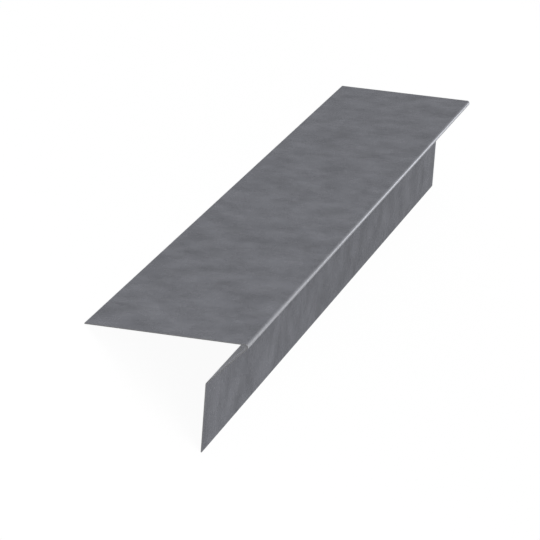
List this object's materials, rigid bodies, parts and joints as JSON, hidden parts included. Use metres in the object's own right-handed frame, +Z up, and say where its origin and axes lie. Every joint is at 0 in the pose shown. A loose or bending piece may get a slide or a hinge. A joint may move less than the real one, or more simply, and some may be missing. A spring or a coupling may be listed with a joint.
{
  "type": "t-metal flashing",
  "caption": "Galvanised sheet roof edge flashing: wide flat flange, acute rounded nose, slanted return and a plain drip face, bent from one strip to shed water past the fascia.",
  "frame": {"origin": "middle of the footprint, on the floor, with the piece settled tent-like on its flange's rear edge and its face's bottom edge", "axes": "+Y along the length of the strip, +Z up, +X towards the side that the face slopes down to"},
  "size_m": [0.079, 0.5588, 0.0511],
  "materials": {
    "galvanised_sheet": "satin"
  },
  "bodies": {
    "root": {"t_metal_flashing": "galvanised_sheet"}
  },
  "joints": []
}
